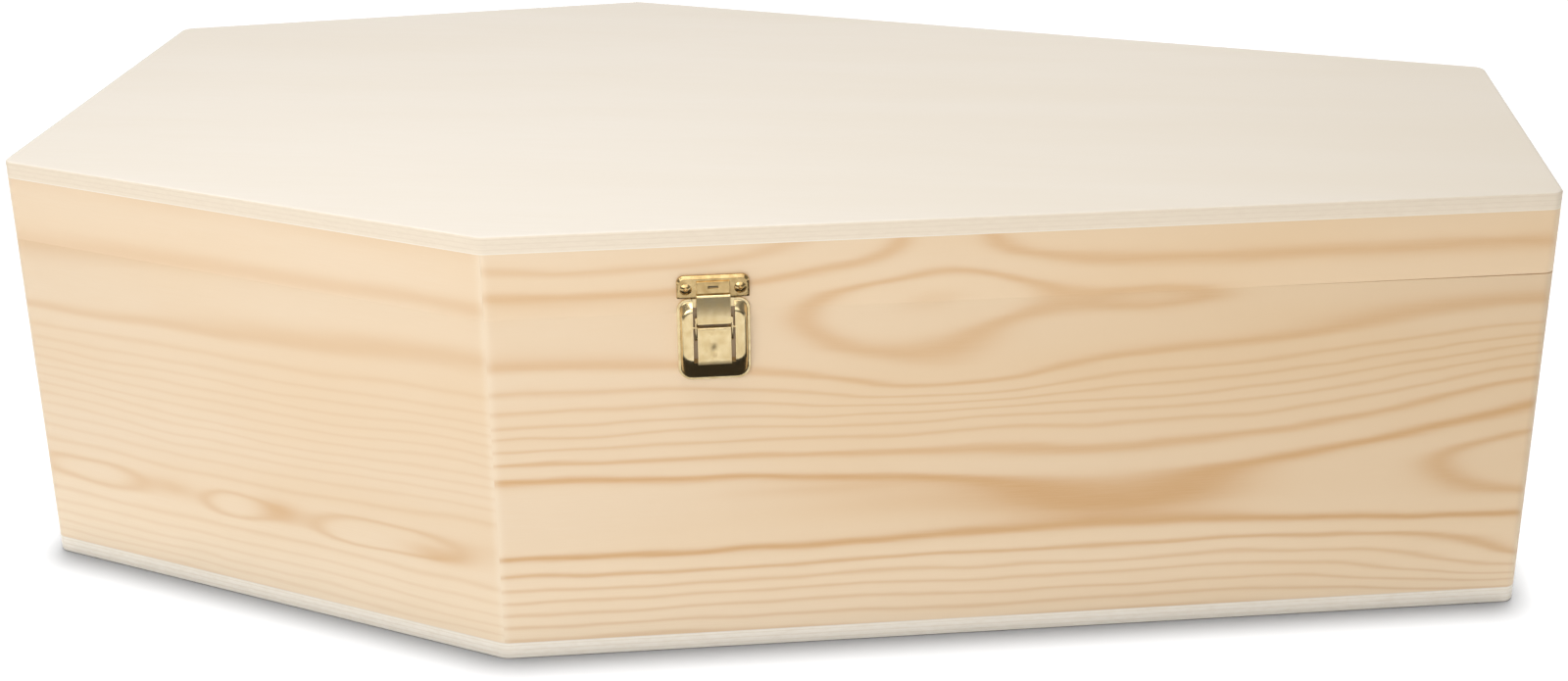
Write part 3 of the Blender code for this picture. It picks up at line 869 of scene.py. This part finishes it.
bm = bmesh.new()
flange = rounded_plate(bm, LATCH_WIDTH / 2, FRAME_FOOT, FRAME_TOP, FOOT_CORNER, TOP_CORNER,
                       SHEET_FACE)
bmesh.ops.inset_individual(bm, faces=[flange], thickness=FLANGE, use_even_offset=True)
flange_rim = flange.edges[:]
bmesh.ops.delete(bm, geom=[flange], context="FACES_ONLY")
crown = rounded_plate(bm, CROWN_HALF, CROWN_FOOT, CROWN_TOP, CROWN_FOOT_CORNER,
                      CROWN_TOP_CORNER, CROWN_STAND)
crown_rim = crown.edges[:]
bmesh.ops.bridge_loops(bm, edges=flange_rim + crown_rim)
round_over(bm, crown_rim, CROWN_BEND, 5)
round_over(bm, flange_rim, FLANGE_BEND, 3)
print("faces of the dome:", len(bm.faces))

# %% The frame's window
WINDOW_WIDTH = 17.9 * MM
WINDOW_FOOT = -21.7 * MM
FLOOR_START = 2.5 * MM
FLOOR_LAP = 0.5 * MM

half_window = WINDOW_WIDTH / 2
slice_at(bm, (half_window, 0, 0), (1, 0, 0))
slice_at(bm, (-half_window, 0, 0), (1, 0, 0))
slice_at(bm, (0, 0, WINDOW_FOOT), (0, 0, 1))
opening = []
for face in bm.faces:
    middle = face.calc_center_bounds()
    if abs(middle.x) < half_window and middle.z > WINDOW_FOOT:
        opening.append(face)
bmesh.ops.delete(bm, geom=opening, context="FACES")
close_back(bm)
floor_reach = half_window + FLOOR_LAP
block(bm, (-floor_reach, WOOD_GAP, FLOOR_START), (floor_reach, SHEET_FACE, FRAME_TOP))
on_latch("latch_frame", bm, 0.15 * MM)

# %% [markdown]
# ## The keeper
#
# The keeper is screwed to the lid. It is a small pressed plate with a sloping rim. Its face leans
# out a little at the top, so it mirrors something dark, and its brass is painted darker, as painted
# shade, so it looks deeper than the frame. A boss is pressed up in its middle with a slot stamped
# in it, and the link hooks over a nose below that.

# %% The keeper's plate
KEEPER_LOW = 6.75 * MM
KEEPER_TOP = 17 * MM
KEEPER_STAND = 1.35 * MM
KEEPER_LOW_CORNER = 0.6 * MM
KEEPER_TOP_CORNER = 3 * MM
KEEPER_RIM = 1.1 * MM
KEEPER_LEAN = 0.8 * MM

bm = bmesh.new()
keeper_face = rounded_plate(bm, LATCH_WIDTH / 2, KEEPER_LOW, KEEPER_TOP, KEEPER_LOW_CORNER,
                            KEEPER_TOP_CORNER, SHEET_FACE)
close_back(bm)
rise = KEEPER_STAND - SHEET_FACE
bmesh.ops.inset_individual(bm, faces=[keeper_face], thickness=KEEPER_RIM, depth=rise,
                           use_even_offset=True)
keeper_middle = (KEEPER_LOW + KEEPER_TOP) / 2
leaning = [vert for vert in keeper_face.verts if vert.co.z > keeper_middle]
bmesh.ops.translate(bm, verts=leaning, vec=(0, -KEEPER_LEAN, 0))
print("lean of the keeper's face in mm:", round(KEEPER_LEAN / MM, 2))

# %% The keeper's boss and nose
BOSS_HALF = 7.1 * MM
BOSS_LOW = 9.4 * MM
BOSS_TOP = 14.7 * MM
BOSS_STAND = 3.0 * MM
BOSS_LEAN = 0.25 * MM
SLOT_HALF = 2.2 * MM
SLOT_LOW = 11.6 * MM
SLOT_TOP = 12.8 * MM
SLOT_DEPTH = 0.7 * MM
SLOT_INSET = 1.0 * MM
SLOT_WALL = 0.1 * MM
NOSE_LOW = KEEPER_LOW + 0.1 * MM
NOSE_TOP = 7.85 * MM
NOSE_STAND = 2.6 * MM

boss = block(bm, (-BOSS_HALF, WOOD_GAP, BOSS_LOW), (BOSS_HALF, BOSS_STAND, BOSS_TOP))
front_top = [vert for vert in boss if vert.co.y < -SHEET_FACE and vert.co.z > keeper_middle]
bmesh.ops.translate(bm, verts=front_top, vec=(0, BOSS_LEAN, 0))
bm.normal_update()
boss_faces = [face for face in bm.faces if set(face.verts) <= set(boss)]
boss_face = min(boss_faces, key=lambda face: face.normal.y)
bmesh.ops.inset_individual(bm, faces=[boss_face], thickness=SLOT_INSET, use_even_offset=True)
for vert in boss_face.verts:
    height = SLOT_TOP if vert.co.z > keeper_middle else SLOT_LOW
    share = (height - BOSS_LOW) / (BOSS_TOP - BOSS_LOW)
    vert.co = (math.copysign(SLOT_HALF, vert.co.x), -BOSS_STAND + BOSS_LEAN * share, height)
bmesh.ops.inset_individual(bm, faces=[boss_face], thickness=SLOT_WALL, depth=-SLOT_DEPTH,
                           use_even_offset=True)
# The slot's floor takes the second material, near-black painted shade.
boss_face.material_index = 1
block(bm, (-BOSS_HALF, WOOD_GAP, NOSE_LOW), (BOSS_HALF, NOSE_STAND, NOSE_TOP))
# The keeper's plate gets the darker brass: painted shade.
keeper = on_latch("latch_keeper", bm, 0.2 * MM, SHADED_BRASS)
keeper.data.materials.append(SLOT_SHADE)

# %% [markdown]
# ## The keeper's screws
#
# Two small screws with domed heads hold the keeper. A head is turned on a lathe, so it is spun
# here too: half of its section goes once round the screw's own axis.

# %% Heads of the screws
SCREW_ASIDE = 11.6 * MM
SCREW_HEIGHT = 11.4 * MM
HEAD_RADIUS = 2.9 * MM
HEAD_RISE = 1.4 * MM
HEAD_BASE = 1.4 * MM
RECESS_RADIUS = 0.85 * MM
RECESS_FLOOR_RADIUS = 0.51 * MM
RECESS_DEPTH = 0.8 * MM
DOME_STEPS = 8
TURNING_STEPS = 40

dome_radius = (HEAD_RADIUS**2 + HEAD_RISE**2) / (2 * HEAD_RISE)
first_angle = math.asin(RECESS_RADIUS / dome_radius)
last_angle = math.asin(HEAD_RADIUS / dome_radius)
head_top = HEAD_BASE + HEAD_RISE
section = [(0, head_top - RECESS_DEPTH), (RECESS_FLOOR_RADIUS, head_top - RECESS_DEPTH)]
for step in range(DOME_STEPS + 1):
    angle = first_angle + (last_angle - first_angle) * step / DOME_STEPS
    section.append((dome_radius * math.sin(angle), head_top - dome_radius * (1 - math.cos(angle))))
section.append((0, HEAD_BASE))

for name, aside in (("keeper_screw_left", -SCREW_ASIDE), ("keeper_screw_right", SCREW_ASIDE)):
    bm = bmesh.new()
    verts = [bm.verts.new((aside + radius, -stand, SCREW_HEIGHT)) for radius, stand in section]
    half_section = verts + [bm.edges.new(pair) for pair in zip(verts, verts[1:])]
    centre = (aside, 0, SCREW_HEIGHT)
    bmesh.ops.spin(bm, geom=half_section, cent=centre, axis=(0, 1, 0), dvec=(0, 0, 0),
                   angle=math.tau, steps=TURNING_STEPS, use_merge=True)
    bmesh.ops.remove_doubles(bm, verts=bm.verts, dist=0.001 * MM)
    # The heads get the darker brass: painted shade.
    on_latch(name, bm, 0.06 * MM, SHADED_BRASS)

# %% [markdown]
# ## The link
#
# The link is a strip whose top is bent in over the keeper's nose. Its front is slightly bowed,
# which is why it mirrors the dark end of the studio at the top and the white floor at the
# bottom. The strip is drawn as one edge swept round two bends, and its two arms reach back to
# the link pin.

# %% Sweeping a strip
STRIP_HALF = 7.2 * MM
STRIP_SHEET = 0.7 * MM
BEND_STEPS = 8


def first_edge(bm, stand, height):
    """The edge across the latch where a strip begins, with its ends."""
    ends = [bm.verts.new((side * STRIP_HALF, -stand, height)) for side in (-1, 1)]
    return [*ends, bm.edges.new(ends)]


def bend(bm, swept, centre, angle):
    """Carries the last edge up round a bend; a positive angle turns it back to the wood."""
    spun = bmesh.ops.spin(bm, geom=swept, cent=centre, axis=(-1, 0, 0), dvec=(0, 0, 0),
                          angle=angle, steps=BEND_STEPS)
    return spun["geom_last"]


def straight(bm, swept, step):
    """Carries the strip's last edge straight on."""
    last = [part for part in swept if isinstance(part, bmesh.types.BMEdge)]
    ends = verts_of(bmesh.ops.extrude_edge_only(bm, edges=last))
    bmesh.ops.translate(bm, verts=ends, vec=step)
    return [*ends, next(edge for edge in ends[0].link_edges if edge.other_vert(ends[0]) == ends[1])]


def give_thickness(bm):
    """Turns the strip's face outwards and gives it the thickness of the sheet behind that face."""
    bmesh.ops.recalc_face_normals(bm, faces=bm.faces)
    if sum(face.normal.y for face in bm.faces) > 0:
        bmesh.ops.reverse_faces(bm, faces=bm.faces)
    bmesh.ops.solidify(bm, geom=bm.faces[:], thickness=STRIP_SHEET)
    stands = [-vert.co.y / MM for vert in bm.verts]
    print(f"strip: stands {min(stands):.2f} to {max(stands):.2f} mm")


# %% The link's strip
LINK_FOOT = -4.0 * MM
LINK_STAND = 4.9 * MM
BOW_RADIUS = 57 * MM
BOW = math.radians(12)
HOOK_RADIUS = 1.15 * MM
HOOK_END = 1.75 * MM

bm = bmesh.new()
swept = first_edge(bm, LINK_STAND, LINK_FOOT)
bow_centre = Vector((0, BOW_RADIUS - LINK_STAND, LINK_FOOT))
bow_end = bow_centre + BOW_RADIUS * Vector((0, -math.cos(BOW), math.sin(BOW)))
hook_centre = bow_end - HOOK_RADIUS * Vector((0, -math.cos(BOW), math.sin(BOW)))
swept = bend(bm, swept, bow_centre, BOW)
swept = bend(bm, swept, hook_centre, math.radians(90) - BOW)
straight(bm, swept, (0, -HOOK_END - hook_centre.y, 0))
give_thickness(bm)

# %% The link's web and arms
ARM_NEAR = 7.45 * MM
ARM_FAR = 8.15 * MM
ARM_TOP = -1.15 * MM
ARM_FRONT = 3.85 * MM
ARM_BACK = 2.75 * MM
ARM_KNEE = -8.8 * MM
EYE = 1.05 * MM
EYE_ROUNDING = EYE * 0.98
LINK_PIN = (1.5 * MM, -11.7 * MM)
WEB_FRONT = 4.4 * MM
WEB_BACK = 2.95 * MM
WEB_FOOT = LINK_FOOT + 0.35 * MM
WEB_HALF = ARM_FAR - 0.1 * MM


def cheek(bm, outline, rounded, near, far):
    """A flat piece drawn as its side view, some of its corners rounded, and given its thickness."""
    verts = [bm.verts.new((near, -out, up)) for out, up in outline]
    side = bm.faces.new(verts)
    grown = bmesh.ops.extrude_face_region(bm, geom=[side])
    bmesh.ops.translate(bm, verts=verts_of(grown), vec=(far - near, 0, 0))
    around = []
    for number in rounded:
        for edge in verts[number].link_edges:
            if abs(edge.verts[0].co.x - edge.verts[1].co.x) > 0:
                around.append(edge)
    round_over(bm, around, EYE_ROUNDING, 4)


pin_stand, pin_height = LINK_PIN
arm_outline = [
    (ARM_BACK, ARM_TOP),
    (ARM_FRONT, ARM_TOP),
    (ARM_FRONT, ARM_KNEE),
    (pin_stand + EYE, pin_height - EYE),
    (pin_stand - EYE, pin_height - EYE),
    (pin_stand - EYE, pin_height + EYE),
    (ARM_BACK, ARM_KNEE),
]
for side in (-1, 1):
    cheek(bm, arm_outline, (3, 4, 5), side * ARM_NEAR, side * ARM_FAR)
block(bm, (-WEB_HALF, WEB_BACK, WEB_FOOT), (WEB_HALF, WEB_FRONT, ARM_TOP))
on_latch("latch_link", bm, 0.1 * MM)

# %% [markdown]
# ## The lever
#
# The lever is a strip too: a lip at the foot for a finger, a flat front, and a top edge rolled
# back. Two cheeks behind it carry both pins. A press has left a small dent near its foot, which
# is drawn as relief in the lever's own material.

# %% The lever's strip and cheeks
LEVER_TOP = -5.5 * MM
LEVER_FOOT = -22.4 * MM
LIP_RADIUS = 9 * MM
LIP = math.radians(14)
ROLL_RADIUS = 0.95 * MM
PIVOT_PIN = (2.0 * MM, -6.7 * MM)
CHEEK_NEAR = 6.5 * MM
CHEEK_FAR = 7.1 * MM
CHEEK_FRONT = 4.5 * MM
DENT_HEIGHT = -16.3 * MM

dent = (ONTO_WALL @ Vector((0, -LINK_STAND, DENT_HEIGHT))).to_3d()
bm = bmesh.new()
lip_end = LEVER_FOOT + LIP_RADIUS * math.sin(LIP)
roll_start = LEVER_TOP - ROLL_RADIUS
swept = first_edge(bm, LINK_STAND + LIP_RADIUS * (1 - math.cos(LIP)), LEVER_FOOT)
swept = bend(bm, swept, (0, -LINK_STAND - LIP_RADIUS, lip_end), -LIP)
swept = straight(bm, swept, (0, 0, roll_start - lip_end))
bend(bm, swept, (0, -LINK_STAND + ROLL_RADIUS, roll_start), math.radians(90))
give_thickness(bm)
pivot_stand, pivot_height = PIVOT_PIN
cheek_outline = [
    (pivot_stand + EYE, pivot_height + EYE),
    (pivot_stand - EYE, pivot_height + EYE),
    (pin_stand - EYE, pin_height - EYE),
    (CHEEK_FRONT, pin_height - 3 * EYE),
    (CHEEK_FRONT, pivot_height - EYE / 2),
]
for side in (-1, 1):
    cheek(bm, cheek_outline, (0, 1, 2), side * CHEEK_NEAR, side * CHEEK_FAR)
on_latch("latch_lever", bm, 0.1 * MM, brass("brass_lever", dent=dent))

# %% [markdown]
# ## The pins
#
# The two pins of the frame already have their true shape, so they stay. Their triangles are welded
# and their flat ends joined again, so that a fine bevel can catch the light along each arris.

# %% Brass for the pins
for name in ("latch_pivot_pin", "latch_link_pin"):
    node = frame["nodes"][name]
    node.data.materials.clear()
    node.data.materials.append(BRASS)
    weld = node.modifiers.new("weld", "WELD")
    weld.merge_threshold = 0.002 * MM
    join = node.modifiers.new("join_flats", "DECIMATE")
    join.decimate_type = "DISSOLVE"
    join.angle_limit = math.radians(2)
    add_easing(node, 0.08 * MM)
    print(f"{name} stays, with {len(node.data.polygons)} triangles")

# %% [markdown]
# ## The studio
#
# A photographer stands such a box on grey paper and lights the paper so strongly that it burns
# out to white, which leaves only a soft dark line of shadow where the box stands. Here one lamp,
# almost straight overhead and a little behind, reaches the paper alone, and only the wood throws
# its shadow. The box itself gets soft light from the sky, from a softbox overhead, from a low one
# in front and from a closer one at the left, so that the tone falls off a little towards the
# foot. Another, behind the box, lights its hidden side. The last one is seen only in polished
# metal, and draws the bright lines along its bends.

# %% Floor
FLOOR_SIZE = 12.0
PAPER_GREY = (0.20, 0.20, 0.20)

bm = bmesh.new()
bmesh.ops.create_grid(bm, x_segments=1, y_segments=1, size=FLOOR_SIZE / 2)
floor_mesh = bpy.data.meshes.new("floor")
bm.to_mesh(floor_mesh)
bm.free()
floor = bpy.data.objects.new("floor", floor_mesh)
bpy.context.scene.collection.objects.link(floor)
paper = Graph("floor_paper")
paper.shader.inputs["Specular IOR Level"].default_value = 0.0
floor_mesh.materials.append(paper.finish(PAPER_GREY, 1.0))
floor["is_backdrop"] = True
print("floor of", FLOOR_SIZE, "metres")

# %% Light on the paper
PAPER_LAMP = 15.6
PAPER_LAMP_LEAN = math.radians(2.5)
PAPER_LAMP_SIZE = math.radians(8)


def lamp(name, kind, power):
    data = bpy.data.lights.new(name, kind)
    data.energy = power
    made = bpy.data.objects.new(name, data)
    bpy.context.scene.collection.objects.link(made)
    return made


paper_lamp = lamp("paper_lamp", "SUN", PAPER_LAMP)
paper_lamp.data.angle = PAPER_LAMP_SIZE
paper_lamp.rotation_euler = (-PAPER_LAMP_LEAN, 0, 0)
lit = bpy.data.collections.new("lit_by_the_paper_lamp")
lit.objects.link(floor)
paper_lamp.light_linking.receiver_collection = lit
shading = bpy.data.collections.new("shading_the_paper")
for piece in WOODEN:
    shading.objects.link(piece)
paper_lamp.light_linking.blocker_collection = shading
reach = cad_high.z * math.tan(PAPER_LAMP_LEAN + PAPER_LAMP_SIZE / 2)
print("the shadow reaches", round(reach / MM), "mm")

# %% Light on the box
# Each softbox: its place, the point that it faces, its size in metres and its power in watts.
SKY_STRENGTH = 0.2
SOFTBOXES = {
    "key": ((-0.45, -0.95, 0.7), (-0.1, 0, 0.1), 0.6, 3.6),
    "overhead": ((-0.3, 0.1, 2.2), (-0.1, 0, 0.1), 1.4, 33.5),
    "front_fill": ((0.15, -1.7, 0.25), (0, 0, 0.1), 0.7, 4.8),
    "back_fill": ((0.8, 2.4, 0.9), (0, 0, 0.1), 1.4, 6),
    "glint": ((0.147, -0.786, 0.8), (*latch_foot, saw_cut), 0.9, 3.6),
}

world = bpy.data.worlds.new("studio")
bpy.context.scene.world = world
world.use_nodes = True
sky = world.node_tree.nodes["Background"]
sky.inputs["Color"].default_value = (1.0, 1.0, 1.0, 1.0)
sky.inputs["Strength"].default_value = SKY_STRENGTH


def softbox(name, place, target, size, power):
    made = lamp(name, "AREA", power)
    made.data.shape = "SQUARE"
    made.data.size = size
    made.location = place
    made.rotation_euler = (Vector(target) - Vector(place)).to_track_quat("-Z", "Y").to_euler()
    return made


lamps = {name: softbox(name, *settings) for name, settings in SOFTBOXES.items()}
lamps["glint"].visible_diffuse = False
print("softboxes:", list(lamps))

# %% [markdown]
# ## Dark cards for the brass
#
# A mirror in an all-white room looks flat. Studio photographers stand dark cards just outside the
# picture, so that polished metal mirrors something dark as well. These cards are seen only in
# reflections: they throw no shadow, and no picture shows them. The upright one is paler at its
# foot, so that the bowed link shades softly from dark to light.

# %% Cards seen only in the brass
CARD_TONE = (0.03, 0.028, 0.025)
CARD_FOOT_TONE = (0.7, 0.7, 0.7)
CARD_FADE = 0.11
FRONT_CARD = ((-1.2, -0.73, 0.0), (1.2, -0.72, 0.3))
LOW_CARD = ((-0.3, -0.4, 0.001), (0.8, -0.12, 0.002))


def card(name, low, high, foot_tone):
    """A thin dark block between two corners, seen only in reflections."""
    bm = bmesh.new()
    corners = bmesh.ops.create_cube(bm, size=1)["verts"]
    bmesh.ops.scale(bm, verts=corners, vec=[b - a for a, b in zip(low, high)])
    bmesh.ops.translate(bm, verts=corners, vec=[(a + b) / 2 for a, b in zip(low, high)])
    mesh = bpy.data.meshes.new(name)
    bm.to_mesh(mesh)
    bm.free()
    cloth = Graph(f"{name}_cloth")
    cloth.shader.inputs["Specular IOR Level"].default_value = 0.0
    height = cloth.axis(cloth.object_place(), 2)
    tone = cloth.mix(height.step(0.0, CARD_FADE), foot_tone, CARD_TONE)
    mesh.materials.append(cloth.finish(tone, 1.0))
    made = bpy.data.objects.new(name, mesh)
    bpy.context.scene.collection.objects.link(made)
    made.visible_camera = False
    made.visible_diffuse = False
    made.visible_shadow = False
    made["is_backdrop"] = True


card("front_card", *FRONT_CARD, CARD_FOOT_TONE)
card("low_card", *LOW_CARD, CARD_TONE)

# %% Camera
LENS = 49.25
SENSOR = 36.0
CAMERA_PLACE = Vector((0.11689, -0.99728, 0.52475))
AZIMUTH = math.radians(-6.7666)
ELEVATION = math.radians(20.9652)
ROLL = math.radians(-0.6284)
SHIFT = -0.0734375

forward = Vector((
    math.sin(AZIMUTH) * math.cos(ELEVATION),
    math.cos(AZIMUTH) * math.cos(ELEVATION),
    -math.sin(ELEVATION),
))
level = Vector((math.cos(AZIMUTH), -math.sin(AZIMUTH), 0))
steep = level.cross(forward)
right = math.cos(ROLL) * level + math.sin(ROLL) * steep
up = -math.sin(ROLL) * level + math.cos(ROLL) * steep
camera_data = bpy.data.cameras.new("camera")
camera_data.lens = LENS
camera_data.sensor_width = SENSOR
camera_data.shift_y = SHIFT
camera_data.clip_start = 0.05
camera = bpy.data.objects.new("camera", camera_data)
bpy.context.scene.collection.objects.link(camera)
axes = Matrix((right, up, -forward)).transposed().to_4x4()
camera.matrix_world = Matrix.Translation(CAMERA_PLACE) @ axes
bpy.context.scene.camera = camera
bpy.context.scene.view_settings.view_transform = "Standard"

# %% Sizes, for comparing with the frame
low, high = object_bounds()
print("visual box in mm:", [round(side * 1000, 1) for side in high - low])
